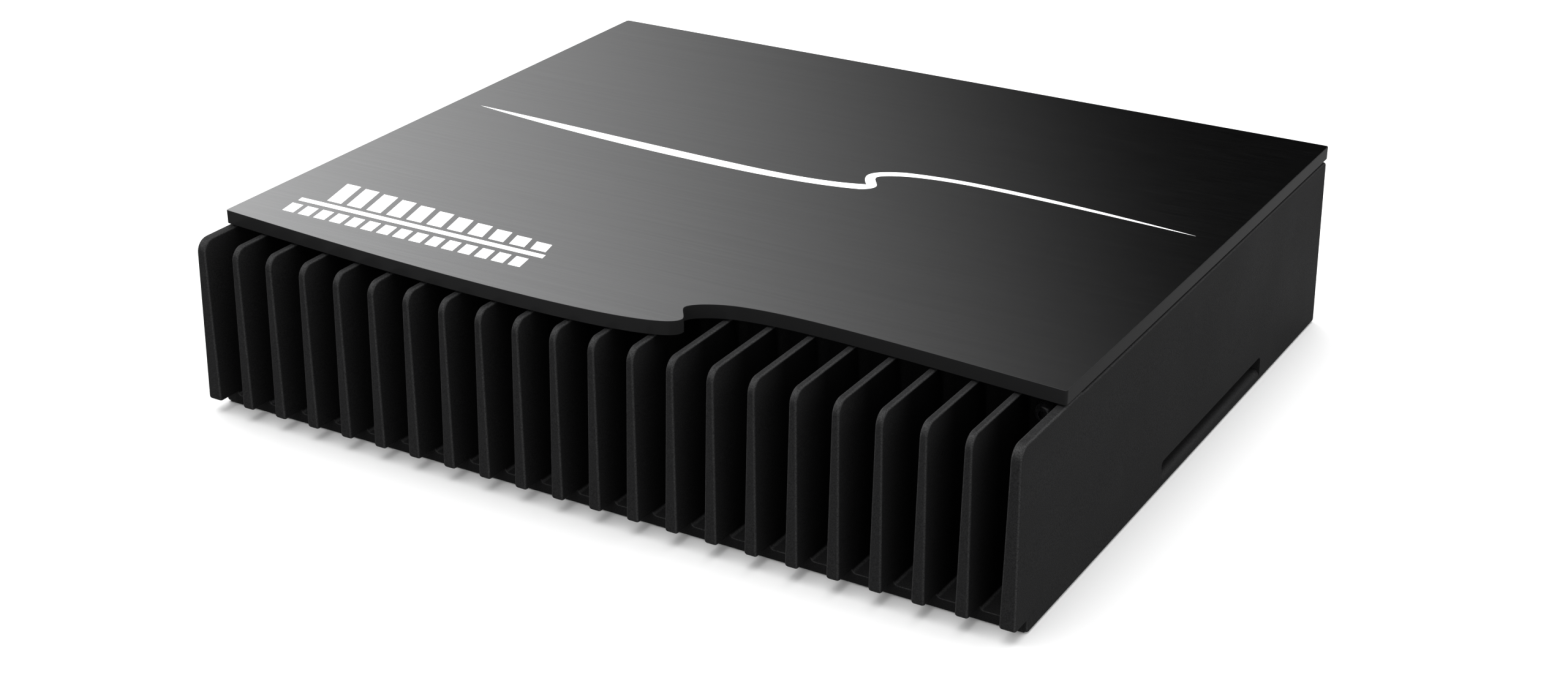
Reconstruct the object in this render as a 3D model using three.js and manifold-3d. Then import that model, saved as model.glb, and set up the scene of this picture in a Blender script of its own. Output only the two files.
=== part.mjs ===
// A four-channel car amplifier as an assembly of separate pieces.
// Millimetres, +Z up, origin at the centre of the footprint on the ground.
// X runs along the width, -Y is the finned side, +Y is the connector side.
import * as THREE from 'three';
import { ConvexGeometry } from 'three/addons/geometries/ConvexGeometry.js';
import { mergeVertices } from 'three/addons/utils/BufferGeometryUtils.js';
import Module from 'manifold-3d';

const wasm = await Module();
wasm.setup();

const amplifier = new THREE.Group();
amplifier.name = 'car_amplifier';

// ---- main sizes ----
const PLATE_HALF = 127;
const PLATE_BACK = 110.24;
const PLATE_LOW = 53.7;
const PLATE_TOP = 57.7;
const DECK_TOP = 52.8;
const DECK_LOW = 49;
const DRAFT = Math.tan(THREE.MathUtils.degToRad(1));
const WALL_TOP_HALF = 126.95;
const WALL_BACK = 109.8;
const BAY_HALF = 123;
const BAY_FRONT = -72;
const FRONT_WALL = -76;
const LEDGE_FRONT = -103;
const LEDGE_TOP = 2.7;
const FIN_COUNT = 22;
const FIN_PITCH = 11.914;
const FIN_FRONT_LOW = -110.24;
const FIN_LOW = 3.7;
const FIN_TOP = 53.2;
const FIN_CORNER = 4;
const FIN_CHAMFER = 0.55;
const CORNER_STEPS = 4;
const SLOT = { y0: -17.2, y1: 60, z0: 3.6, z1: 8, depth: 13 };
const PANEL_Y0 = 96.5;
const PANEL_Y1 = 98;
const BOARD_LOW = 12;
const BOARD_TOP = 13.6;
const GAP = 0.3;

// ---- connector layout, by X and Z of each centre ----
const INPUT_JACKS = [[104, 22], [88, 22], [104, 37], [88, 37]];
const PREOUT_JACKS = [[66, 22], [66, 37]];
const KNOBS = [48, 35, 22, 9];
const KNOB_Z = 22;
const SWITCHES = [42, 28];
const SWITCH_Z = 38;
const SWITCH_TRAVEL = 4;
const LIGHT = [12, 38];
const USB = [-10, 20.5];
const REMOTE = [-10, 37];
const SPEAKER = { x0: -78, x1: -22, ways: 8, pitch: 7 };
const POWER = { x0: -117, x1: -84, ways: 3, pitch: 11 };

// ---- turned profiles: [radius, position along the axis] ----
const SHELL_PROFILE = [
  [3.5, 99.4], [4.15, 99.4], [4.15, 107.1], [3.9, 107.4], [3.5, 107.4], [3.5, 99.4],
];
const KNOB_PROFILE = [[0, 98.6], [5.1, 98.6], [5.1, 99.4], [4.8, 106.6], [4.4, 107.2], [0, 107.2]];
const LIGHT_PROFILE = [
  [0, 94], [2.4, 94], [2.4, 96.2], [1.8, 96.2], [1.8, 98.6], [1.2, 99.3], [0, 99.5],
];
const COIL_PROFILE = [
  [3, BOARD_TOP], [7.6, BOARD_TOP], [8.4, 16], [8.4, 24], [7.6, 26], [3, 26], [3, BOARD_TOP],
];
const TOROID_PROFILE = [
  [9, BOARD_TOP], [20, BOARD_TOP], [23, 18], [23, 30], [20, 34], [9, 34], [7, 31], [7, 17],
  [9, BOARD_TOP],
];

// ---- geometry helpers ----
function solid(geometry) {
  const bare = geometry.index ? geometry.clone() : geometry;
  bare.deleteAttribute('normal');
  bare.deleteAttribute('uv');
  const merged = mergeVertices(bare, 1e-4);
  const mesh = new wasm.Mesh({
    numProp: 3,
    vertProperties: Float32Array.from(merged.attributes.position.array),
    triVerts: Uint32Array.from(merged.index.array),
  });
  return new wasm.Manifold(mesh);
}

function toGeometry(manifold) {
  const mesh = manifold.getMesh();
  const geometry = new THREE.BufferGeometry();
  geometry.setAttribute('position', new THREE.BufferAttribute(mesh.vertProperties, 3));
  geometry.setIndex(new THREE.BufferAttribute(mesh.triVerts, 1));
  geometry.computeVertexNormals();
  return geometry;
}

function box(x0, x1, y0, y1, z0, z1) {
  const geometry = new THREE.BoxGeometry(x1 - x0, y1 - y0, z1 - z0);
  geometry.translate((x0 + x1) / 2, (y0 + y1) / 2, (z0 + z1) / 2);
  return solid(geometry);
}

function rodY(radius, x, z, y0, y1, sides = 16) {
  const geometry = new THREE.CylinderGeometry(radius, radius, y1 - y0, sides);
  geometry.translate(x, (y0 + y1) / 2, z);
  return solid(geometry);
}

function rodZ(radius, x, y, z0, z1, sides = 14) {
  const geometry = new THREE.CylinderGeometry(radius, radius, z1 - z0, sides);
  geometry.rotateX(Math.PI / 2);
  geometry.translate(x, y, (z0 + z1) / 2);
  return solid(geometry);
}

// A solid turned about a line along Y through x and z; profile is [radius, y].
function latheY(profile, x, z, sides = 18) {
  const points = profile.map(([r, y]) => new THREE.Vector2(r, y));
  const geometry = new THREE.LatheGeometry(points, sides);
  geometry.translate(x, 0, z);
  return outward(geometry);
}

// A solid turned about a line along Z through x and y; profile is [radius, z].
function latheZ(profile, x, y, sides = 16) {
  const points = profile.map(([r, z]) => new THREE.Vector2(r, z));
  const geometry = new THREE.LatheGeometry(points, sides);
  geometry.rotateX(Math.PI / 2);
  geometry.translate(x, y, 0);
  return outward(geometry);
}

// Turn a closed surface the right way out.
function outward(geometry) {
  const made = solid(geometry);
  if (made.volume() > 0) {
    return made;
  }
  const flipped = geometry.clone();
  const order = flipped.index.array;
  for (let i = 0; i < order.length; i += 3) {
    const keep = order[i];
    order[i] = order[i + 1];
    order[i + 1] = keep;
  }
  return solid(flipped);
}

function union(pieces) {
  return pieces.reduce((sum, piece) => sum.add(piece));
}

function cut(body, tools) {
  return tools.reduce((left, tool) => left.subtract(tool), body);
}

const FINISH = {
  powder: [0x1d1e1f, 0.62, 0.35],
  brushed: [0x777879, 0.36, 0.9],
  sheet: [0x17181a, 0.55, 0.4],
  blackScrew: [0x0c0c0d, 0.35, 0.8],
  zinc: [0xb9bab8, 0.35, 0.9],
  plastic: [0x101113, 0.5, 0.0],
  greyPlastic: [0x3c3f43, 0.5, 0.0],
  gold: [0xd2aa54, 0.25, 1.0],
  board: [0x15452a, 0.55, 0.0],
  copper: [0xb06a3a, 0.35, 0.9],
  core: [0x33383c, 0.6, 0.1],
  sleeve: [0x23262c, 0.4, 0.0],
  pad: [0xb9bcc0, 0.8, 0.0],
  lens: [0x9fd4ff, 0.15, 0.0],
};

function place(name, manifold, finish) {
  const [color, roughness, metalness] = FINISH[finish];
  const material = new THREE.MeshStandardMaterial({ color, roughness, metalness });
  const mesh = new THREE.Mesh(toGeometry(manifold), material);
  mesh.name = name;
  amplifier.add(mesh);
}

// ---- casting: finned heatsink, deck, side walls and base ledge ----
function wallHalf(z) {
  return WALL_TOP_HALF + (DECK_TOP - z) * DRAFT;
}

function finThickness(z) {
  return 1.88 + 0.0337 * (PLATE_TOP - z);
}

// Front outline of a fin in Y and Z, drawn in by an inset.
function finOutline(inset) {
  const lean = (z) => FIN_FRONT_LOW + inset + (z - FIN_LOW) * DRAFT;
  const top = FIN_TOP - inset;
  const low = FIN_LOW + inset;
  const radius = FIN_CORNER - inset;
  const points = [[FRONT_WALL + 2, low], [lean(low), low]];
  for (let step = 0; step <= CORNER_STEPS; step += 1) {
    const angle = (step / CORNER_STEPS) * (Math.PI / 2);
    const z = top - radius + radius * Math.sin(angle);
    points.push([lean(top - radius) + radius - radius * Math.cos(angle), z]);
  }
  points.push([FRONT_WALL + 2, top]);
  return points;
}

function fin(index) {
  const centre = (index - (FIN_COUNT - 1) / 2) * FIN_PITCH;
  const points = [];
  for (const [inset, narrow] of [[0, FIN_CHAMFER], [FIN_CHAMFER, 0]]) {
    for (const [y, z] of finOutline(inset)) {
      const half = finThickness(z) / 2 - narrow;
      let left = centre - half;
      let right = centre + half;
      if (index === 0) left = -wallHalf(z) + narrow;
      if (index === FIN_COUNT - 1) right = wallHalf(z) - narrow;
      points.push(new THREE.Vector3(left, y, z), new THREE.Vector3(right, y, z));
    }
  }
  const geometry = new ConvexGeometry(points);
  return outward(mergeVertices(bareCopy(geometry), 1e-4));
}

function bareCopy(geometry) {
  const copy = geometry.clone();
  copy.deleteAttribute('normal');
  copy.deleteAttribute('uv');
  return copy;
}

// A drafted slab as wide as the casting, from y0 to y1 and z0 to z1.
function slab(y0, y1, z0, z1) {
  const points = [];
  for (const z of [z0, z1]) {
    for (const y of [y0, y1]) {
      points.push(new THREE.Vector3(-wallHalf(z), y, z), new THREE.Vector3(wallHalf(z), y, z));
    }
  }
  return outward(mergeVertices(bareCopy(new ConvexGeometry(points)), 1e-4));
}

const PLATE_FIXINGS = [[-100, -58], [100, -58], [-100, 72], [100, 72]];
const COVER_FIXINGS = [[-116, -52], [116, -52], [-116, 75], [116, 75]];
const BOARD_FIXINGS = [[-104, -50], [104, -50], [-104, 60], [104, 60]];
const CLAMP_SCREW_X = 118.6;
const CLAMP_SCREW_Z = 46.9;

function bracketSlot(side) {
  const outer = 130;
  const inner = wallHalf(SLOT.z1) - SLOT.depth;
  const x0 = side > 0 ? inner : -outer;
  const x1 = side > 0 ? outer : -inner;
  return box(x0, x1, SLOT.y0, SLOT.y1, SLOT.z0, SLOT.z1);
}

// The sill of the slot falls away towards the outside.
function slotSill(side) {
  const wall = wallHalf(SLOT.z0);
  const points = [];
  for (const y of [SLOT.y0, SLOT.y1]) {
    points.push(new THREE.Vector3(side * (wall - 2.2), y, SLOT.z0));
    points.push(new THREE.Vector3(side * (wall - 2.2), y, SLOT.z0 + 1));
    points.push(new THREE.Vector3(side * (wall + 1), y, SLOT.z0 + 1));
    points.push(new THREE.Vector3(side * (wall + 1), y, SLOT.z0 - 1.3));
  }
  return outward(mergeVertices(bareCopy(new ConvexGeometry(points)), 1e-4));
}

function casting() {
  let body = slab(FRONT_WALL, WALL_BACK, 0, DECK_TOP);
  body = body.subtract(box(-BAY_HALF, BAY_HALF, BAY_FRONT, 120, -1, DECK_LOW));
  const parts = [body, slab(LEDGE_FRONT, FRONT_WALL + 1, 0, LEDGE_TOP)];
  for (let index = 0; index < FIN_COUNT; index += 1) {
    parts.push(fin(index));
  }
  for (const side of [-1, 1]) {
    const x0 = side > 0 ? 110.5 : -BAY_HALF - 1;
    const x1 = side > 0 ? BAY_HALF + 1 : -110.5;
    parts.push(box(x0, x1, SLOT.y0 - 3, SLOT.y1 + 3, 2.6, 11));
  }
  for (const [x, y] of PLATE_FIXINGS) {
    parts.push(rodZ(6, x, y, DECK_LOW, PLATE_LOW));
  }
  for (const [x, y] of COVER_FIXINGS) {
    parts.push(rodZ(4, x, y, 2.6, DECK_LOW + 1));
    const web = [x, Math.sign(x) * (BAY_HALF + 1)].sort((a, b) => a - b);
    parts.push(box(web[0], web[1], y - 2, y + 2, 2.6, DECK_LOW + 1));
  }
  for (const [x, y] of BOARD_FIXINGS) {
    parts.push(rodZ(4, x, y, BOARD_TOP, DECK_LOW + 1));
  }
  const holes = [];
  for (const side of [-1, 1]) {
    holes.push(bracketSlot(side), slotSill(side));
    holes.push(rodY(1.7, side * CLAMP_SCREW_X, CLAMP_SCREW_Z, -80, -70, 10));
  }
  for (const [x, y] of PLATE_FIXINGS) holes.push(rodZ(1.8, x, y, 40, 56, 10));
  for (const [x, y] of COVER_FIXINGS) holes.push(rodZ(1.6, x, y, 1, 10.4, 10));
  for (const [x, y] of BOARD_FIXINGS) holes.push(rodZ(1.6, x, y, 10, 21.4, 10));
  place('heatsink_casting', cut(union(parts), holes), 'powder');
}

// ---- brushed cover plate with its stepped, wave-shaped front edge ----
function plateOutline() {
  const r = 1;
  const shape = new THREE.Shape();
  shape.moveTo(-PLATE_HALF, PLATE_BACK - r);
  shape.lineTo(-PLATE_HALF, -96.36 + r);
  shape.quadraticCurveTo(-PLATE_HALF, -96.36, -PLATE_HALF + r, -96.45);
  shape.bezierCurveTo(-91, -99.56, -55, -102.86, -19, -102.86);
  shape.bezierCurveTo(-5, -102.86, 12, -102.2, 20.8, -98.86);
  shape.bezierCurveTo(23.6, -97.7, 25.1, -96.4, 25, -94.8);
  shape.bezierCurveTo(24.9, -93.2, 21.8, -90.4, 21.55, -88.6);
  shape.bezierCurveTo(21.3, -86.6, 26, -82.9, 33.5, -81.26);
  shape.bezierCurveTo(39.5, -80.1, 46, -79.76, 53, -79.76);
  shape.bezierCurveTo(72, -79.76, 103, -82.66, PLATE_HALF - r, -84.38);
  shape.quadraticCurveTo(PLATE_HALF, -84.46, PLATE_HALF, -84.46 + r);
  shape.lineTo(PLATE_HALF, PLATE_BACK - r);
  shape.quadraticCurveTo(PLATE_HALF, PLATE_BACK, PLATE_HALF - r, PLATE_BACK);
  shape.lineTo(-PLATE_HALF + r, PLATE_BACK);
  shape.quadraticCurveTo(-PLATE_HALF, PLATE_BACK, -PLATE_HALF, PLATE_BACK - r);
  return shape;
}

function topPlate() {
  const geometry = new THREE.ExtrudeGeometry(plateOutline(), {
    depth: PLATE_TOP - PLATE_LOW,
    bevelEnabled: false,
    curveSegments: 7,
  });
  geometry.translate(0, 0, PLATE_LOW);
  const holes = PLATE_FIXINGS.map(([x, y]) => rodZ(1.6, x, y, 50, 56.4, 10));
  place('top_plate', cut(solid(geometry), holes), 'brushed');
}

// ---- sheet-metal pieces ----
function bottomCover() {
  const sheet = box(-BAY_HALF + GAP, BAY_HALF - GAP, BAY_FRONT + GAP, PANEL_Y1, 0.8, 2.3);
  const holes = COVER_FIXINGS.map(([x, y]) => rodZ(1.8, x, y, 0, 4, 10));
  const sink = [[0, 0.7], [3.7, 0.7], [1.8, 2.31], [0, 2.31]];
  const heads = COVER_FIXINGS.map(([x, y]) => latheZ(sink, x, y));
  place('bottom_cover', cut(sheet, [...holes, ...heads]), 'sheet');
}

function connectorPanel() {
  const z0 = 2.6;
  const panel = box(-BAY_HALF + GAP, BAY_HALF - GAP, PANEL_Y0, PANEL_Y1, z0, DECK_LOW - GAP);
  const holes = [];
  for (const [x, z] of [...INPUT_JACKS, ...PREOUT_JACKS]) {
    holes.push(rodY(5.8, x, z, 90, 110));
  }
  for (const x of KNOBS) holes.push(rodY(3.6, x, KNOB_Z, 90, 110));
  for (const x of SWITCHES) holes.push(box(x - 4.4, x + 4.4, 90, 110, SWITCH_Z - 2.2, SWITCH_Z + 2.2));
  holes.push(rodY(2, LIGHT[0], LIGHT[1], 90, 110));
  holes.push(box(USB[0] - 6.4, USB[0] + 6.4, 90, 110, BOARD_TOP - GAP, USB[1] + 5.8));
  holes.push(box(REMOTE[0] - 6.4, REMOTE[0] + 6.4, 90, 110, REMOTE[1] - 5.4, REMOTE[1] + 5.4));
  holes.push(box(SPEAKER.x0 - GAP, SPEAKER.x1 + GAP, 90, 110, BOARD_TOP, 34.3));
  holes.push(box(POWER.x0 - GAP, POWER.x1 + GAP, 90, 110, BOARD_TOP, 36.3));
  place('connector_panel', cut(panel, holes), 'sheet');
}

// ---- phono jacks ----
function jackBlock(name, jacks, x0, x1, finish) {
  const parts = [box(x0, x1, 82, PANEL_Y0 - GAP, BOARD_TOP, 44.4)];
  const holes = [];
  for (const [x, z] of jacks) {
    parts.push(rodY(5.5, x, z, 90, 99.4, 18));
    parts.push(rodY(3.2, x, z, 90, 106.4, 10));
    holes.push(rodY(1.6, x, z, 98, 110, 8));
  }
  place(name, cut(union(parts), holes), finish);
}

function jackShells() {
  [...INPUT_JACKS, ...PREOUT_JACKS].forEach(([x, z], index) => {
    place(`jack_shell_${index + 1}`, latheY(SHELL_PROFILE, x, z), 'gold');
  });
}

// ---- level controls ----
function levelControls() {
  KNOBS.forEach((x, index) => {
    const body = box(x - 5, x + 5, 85.5, PANEL_Y0 - GAP, BOARD_TOP, 28);
    const pot = body.subtract(rodY(3.06, x, KNOB_Z, 87.6, 100, 18));
    place(`level_pot_${index + 1}`, pot, 'core');
    const cap = latheY(KNOB_PROFILE, x, KNOB_Z, 20);
    const shaft = rodY(3, x, KNOB_Z, 88, 99, 18);
    const pointer = box(x - 0.5, x + 0.5, 100.5, 110, KNOB_Z + 1, KNOB_Z + 6);
    place(`level_knob_${index + 1}`, cap.add(shaft).subtract(pointer), 'plastic');
  });
}

// ---- slide switches, resting at the low-X end of their travel ----
function modeSwitches() {
  SWITCHES.forEach((x, index) => {
    const body = box(x - 6.5, x + 6.5, 90.5, PANEL_Y0 - GAP, SWITCH_Z - 3.6, SWITCH_Z + 3.6);
    const cavity = box(x - 4.3, x + 4.3, 92, 100, SWITCH_Z - 2, SWITCH_Z + 2);
    place(`switch_body_${index + 1}`, body.subtract(cavity), 'core');
    const rest = x - SWITCH_TRAVEL / 2;
    const slider = box(rest - 1.9, rest + 1.9, 92.3, 97, SWITCH_Z - 1.7, SWITCH_Z + 1.7);
    const grip = box(rest - 1.9, rest + 1.9, 96, 101, SWITCH_Z - 1.7, SWITCH_Z + 1.7);
    const grooves = [-1, 0, 1].map((step) =>
      box(rest + step * 1.1 - 0.22, rest + step * 1.1 + 0.22, 100.5, 102, SWITCH_Z - 2, SWITCH_Z + 2));
    place(`switch_slider_${index + 1}`, cut(slider.add(grip), grooves), 'greyPlastic');
  });
}

// ---- small sockets and the status light ----
function smallSockets() {
  const [ux, uz] = USB;
  const usb = box(ux - 6, ux + 6, 80, 99.5, BOARD_TOP, uz + 5.45);
  const mouth = box(ux - 4.25, ux + 4.25, 88, 101, uz - 3.9, uz + 3.9);
  const tongue = box(ux - 2.8, ux + 2.8, 86, 98.6, uz - 1.6, uz + 1.6);
  place('data_socket', usb.subtract(mouth).add(tongue), 'zinc');
  const [rx, rz] = REMOTE;
  const legs = box(rx - 6, rx + 6, 80, 95.5, uz + 5.45 + GAP, rz);
  const remote = box(rx - 6, rx + 6, 80, 99.5, rz - 5, rz + 5);
  const plugWay = box(rx - 4.9, rx + 4.9, 88, 101, rz - 3.4, rz + 3.4);
  const latch = box(rx - 2, rx + 2, 88, 101, rz - 4.4, rz);
  place('remote_socket', cut(remote.add(legs), [plugWay, latch]), 'plastic');
  const [lx, lz] = LIGHT;
  place('status_light', latheY(LIGHT_PROFILE, lx, lz, 16), 'lens');
}

// ---- screw terminals ----
function speakerTerminals() {
  const { x0, x1, ways, pitch } = SPEAKER;
  const block = box(x0, x1, 84, 107, BOARD_TOP + GAP, 34);
  const holes = [];
  for (let way = 0; way < ways; way += 1) {
    const x = x0 + pitch * (way + 0.5);
    holes.push(box(x - 2.4, x + 2.4, 94, 110, 16.6, 21.6));
    holes.push(rodZ(2.2, x, 101.5, 28, 36, 10));
  }
  place('speaker_terminal_block', cut(block, holes), 'plastic');
}

function powerTerminals() {
  const { x0, x1, ways, pitch } = POWER;
  const block = box(x0, x1, 84, 107.6, BOARD_TOP + GAP, 36);
  const holes = [];
  for (let way = 0; way < ways; way += 1) {
    const x = x0 + pitch * (way + 0.5);
    holes.push(box(x - 3.9, x + 3.9, 90, 110, 16.4, 25.4));
    holes.push(rodZ(3.4, x, 101, 25, 40, 16));
    const screw = rodZ(3.1, x, 101, 27.4, 34.8, 16);
    const hex = rodZ(1.75, x, 101, 31.5, 36, 6);
    place(`power_clamp_screw_${way + 1}`, screw.subtract(hex), 'zinc');
  }
  place('power_terminal_block', cut(block, holes), 'plastic');
}

// ---- electronics inside the bay ----
const TRANSISTORS = [-84, -30, 30, 84];
const COIL_X = [-62, -44, -26, -8];

function mainBoard() {
  const board = box(-109, 109, -60, 96.2, BOARD_LOW, BOARD_TOP);
  const holes = BOARD_FIXINGS.map(([x, y]) => rodZ(1.8, x, y, 10, 16, 10));
  place('main_board', cut(board, holes), 'board');
}

function powerTransistors() {
  TRANSISTORS.forEach((x, index) => {
    const body = box(x - 8, x + 8, -71, -66.1, 25, 46);
    const legs = box(x - 6.5, x + 6.5, -68.9, -68.3, BOARD_LOW - 1.5, 25.5);
    place(`power_transistor_${index + 1}`, body.add(legs), 'sleeve');
  });
  place('thermal_pad', box(-98, 98, -71.9, -71.1, 24, 47), 'pad');
}

function clampBar() {
  const bar = box(-122.4, 122.4, -66, -62, 42, 48.8);
  const feet = [-1, 1].map((side) => {
    const x = side * CLAMP_SCREW_X;
    return box(x - 3, x + 3, -71.7, -65, 42, 48.8);
  });
  const posts = [];
  for (const side of [-1, 1]) posts.push(rodY(1.5, side * CLAMP_SCREW_X, CLAMP_SCREW_Z, -74, -60.5, 10));
  place('clamp_bar', cut(union([bar, ...feet]), posts), 'zinc');
}

function coils() {
  COIL_X.forEach((x, index) => {
    place(`output_inductor_${index + 1}`, latheZ(COIL_PROFILE, x, 66, 14), 'copper');
  });
  place('power_transformer', latheZ(TOROID_PROFILE, -74, 8, 20), 'copper');
  [-38, -14].forEach((x, index) => {
    const can = latheZ([[0, BOARD_TOP], [9, BOARD_TOP], [9, 44.5], [8.2, 45.4], [0, 45.4]], x, 12, 18);
    place(`reservoir_capacitor_${index + 1}`, can, 'sleeve');
  });
}

// ---- screws ----
function panHeadUp(x, y, headLow, tip, shank) {
  const head = rodZ(2.8, x, y, headLow, headLow + 2, 16);
  const stem = rodZ(shank, x, y, headLow + 1, tip, 12);
  const drive = rodZ(1.2, x, y, headLow - 1, headLow + 1, 6);
  return head.add(stem).subtract(drive);
}

function screws() {
  PLATE_FIXINGS.forEach(([x, y], index) => {
    place(`plate_screw_${index + 1}`, panHeadUp(x, y, DECK_LOW - 2, 56, 1.5), 'zinc');
  });
  BOARD_FIXINGS.forEach(([x, y], index) => {
    place(`board_screw_${index + 1}`, panHeadUp(x, y, BOARD_LOW - 2, 21, 1.5), 'zinc');
  });
  COVER_FIXINGS.forEach(([x, y], index) => {
    const profile = [[0, 0.85], [3.35, 0.85], [1.4, 2.2], [1.4, 10], [0, 10]];
    const drive = rodZ(1.2, x, y, 0, 1.9, 6);
    place(`cover_screw_${index + 1}`, latheZ(profile, x, y, 16).subtract(drive), 'blackScrew');
  });
  [-1, 1].forEach((side) => {
    const x = side * CLAMP_SCREW_X;
    const tip = -61;
    const head = [[0, -79.2], [1.6, -79.1], [2.6, -78.4], [3.1, FRONT_WALL], [0, FRONT_WALL]];
    const body = latheY(head, x, CLAMP_SCREW_Z, 20).add(rodY(1.4, x, CLAMP_SCREW_Z, -77, tip, 10));
    const drive = rodY(1.3, x, CLAMP_SCREW_Z, -80, -77.6, 6);
    place(side > 0 ? 'clamp_screw_right' : 'clamp_screw_left', body.subtract(drive), 'blackScrew');
  });
}

casting();
topPlate();
bottomCover();
connectorPanel();
jackBlock('input_jack_block', INPUT_JACKS, 80, 112, 'plastic');
jackBlock('preout_jack_block', PREOUT_JACKS, 58.4, 73.6, 'plastic');
jackShells();
levelControls();
modeSwitches();
smallSockets();
speakerTerminals();
powerTerminals();
mainBoard();
powerTransistors();
clampBar();
coils();
screws();

export default amplifier;
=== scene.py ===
"""Looks for the car amplifier: fine meshes, materials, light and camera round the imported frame.

Shapes are written in millimetres in the row frame and scaled to metres as each mesh is made.
"""

import math

import bmesh
import bpy
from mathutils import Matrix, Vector


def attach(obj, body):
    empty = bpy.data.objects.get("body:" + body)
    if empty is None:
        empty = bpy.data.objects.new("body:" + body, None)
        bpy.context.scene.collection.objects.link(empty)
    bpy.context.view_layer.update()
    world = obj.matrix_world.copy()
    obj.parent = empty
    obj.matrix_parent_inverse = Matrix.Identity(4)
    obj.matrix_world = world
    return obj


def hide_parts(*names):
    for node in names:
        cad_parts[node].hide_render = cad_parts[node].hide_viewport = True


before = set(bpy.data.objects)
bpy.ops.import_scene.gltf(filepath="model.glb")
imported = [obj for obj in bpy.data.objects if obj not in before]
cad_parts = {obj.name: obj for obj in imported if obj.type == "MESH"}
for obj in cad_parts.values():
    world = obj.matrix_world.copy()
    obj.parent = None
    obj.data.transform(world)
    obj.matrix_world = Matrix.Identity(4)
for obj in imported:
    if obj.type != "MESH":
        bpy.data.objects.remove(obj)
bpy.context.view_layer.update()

MM = 0.001
CHASSIS = "chassis"

# ---- main sizes, in millimetres ----
PLATE_HALF = 127.0
PLATE_BACK = 110.24
PLATE_LOW = 53.7
PLATE_TOP = 57.7
DECK_TOP = 52.8
DECK_LOW = 49.0
DRAFT = math.tan(math.radians(1.0))
WALL_TOP_HALF = 126.95
WALL_BACK = 109.8
BAY_HALF = 123.0
BAY_FRONT = -72.0
SHELL_HALF = 125.4
FRONT_WALL = -76.0
LEDGE_FRONT = -103.0
GROOVE_FLOOR = 3.0
GROOVE_FILLET = 1.1
FIN_COUNT = 22
FIN_PITCH = 11.914
FIN_FRONT_LOW = -110.24
FIN_LOW = 3.7
FIN_TOP = 53.2
FIN_TOP_THICKNESS = 1.88
FIN_TAPER = 0.0337
FIN_CORNER = 4.0
FIN_FOOT_CORNER = 1.1
FIN_ROUND = 0.75
WALL_FILLET = 3.0
FILLETS_END = 124
OVERLAP = 0.06
SLOT_Y = (-17.2, 60.0)
SLOT_Z = (3.6, 8.0)
SLOT_DEPTH = 13.0
SLOT_CORNER = 1.4
SILL_ROUND = 2.2
BOARD_TOP = 13.6
PANEL_Y0 = 96.5
PANEL_Y1 = 98.0
GAP = 0.3

PLATE_FIXINGS = [(-100, -58), (100, -58), (-100, 72), (100, 72)]
COVER_FIXINGS = [(-116, -52), (116, -52), (-116, 75), (116, 75)]
BOARD_FIXINGS = [(-104, -50), (104, -50), (-104, 60), (104, 60)]
CLAMP_SCREW_X = 118.6
CLAMP_SCREW_Z = 46.9
CLAMP_BORE = 1.7
PLATE_BORE = 1.8
COVER_BORE = 1.6
BOARD_BORE = 1.6

INPUT_JACKS = [(104, 22), (88, 22), (104, 37), (88, 37)]
PREOUT_JACKS = [(66, 22), (66, 37)]
KNOBS = [48, 35, 22, 9]
KNOB_Z = 22.0
SWITCHES = [42, 28]
SWITCH_Z = 38.0
SWITCH_TRAVEL = 4.0
LIGHT = (12, 38)
USB = (-10, 20.5)
REMOTE = (-10, 37)
SPEAKER = {"x0": -78, "x1": -22, "ways": 8, "pitch": 7}
POWER = {"x0": -117, "x1": -84, "ways": 3, "pitch": 11}


# ---- plane outlines ----
def circle(cx, cy, radius, sides=48):
    turn = 2 * math.pi / sides
    return [Vector((cx + radius * math.cos(turn * k), cy + radius * math.sin(turn * k)))
            for k in range(sides)]


def rounded(corners, steps=6):
    """A closed outline through corners (x, y, radius), with an arc at each radius."""
    outline = []
    count = len(corners)
    for i, (x, y, radius) in enumerate(corners):
        here = Vector((x, y))
        if radius <= 0:
            outline.append(here)
            continue
        to_last = (Vector(corners[i - 1][:2]) - here).normalized()
        to_next = (Vector(corners[(i + 1) % count][:2]) - here).normalized()
        half = to_last.angle(to_next) / 2
        centre = here + (to_last + to_next).normalized() * (radius / math.sin(half))
        start = here + to_last * (radius / math.tan(half)) - centre
        end = here + to_next * (radius / math.tan(half)) - centre
        sweep = start.angle(end)
        for k in range(steps + 1):
            t = k / steps
            arm = start * math.sin((1 - t) * sweep) + end * math.sin(t * sweep)
            outline.append(centre + arm / math.sin(sweep))
    return outline


def rectangle(x0, x1, y0, y1, radius=0.0, steps=6):
    return rounded([(x0, y0, radius), (x1, y0, radius), (x1, y1, radius), (x0, y1, radius)], steps)


def bezier(start, pieces, steps=14):
    """Points along a chain of cubic curves; each piece is (control, control, end)."""
    points = [Vector(start)]
    here = Vector(start)
    for c1, c2, end in pieces:
        a, b, c, d = here, Vector(c1), Vector(c2), Vector(end)
        for k in range(1, steps + 1):
            t = k / steps
            s = 1 - t
            points.append(a * s**3 + b * 3 * s * s * t + c * 3 * s * t * t + d * t**3)
        here = d
    return points


def inset(outline, distance):
    """The outline with each edge moved to its left by distance, corners mitred."""
    if distance == 0:
        return list(outline)
    moved = []
    count = len(outline)
    for i, here in enumerate(outline):
        a = (here - outline[i - 1]).normalized()
        b = (outline[(i + 1) % count] - here).normalized()
        na = Vector((-a.y, a.x))
        nb = Vector((-b.y, b.x))
        moved.append(here + (na + nb) * (distance / (1 + na.dot(nb))))
    return moved


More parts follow.
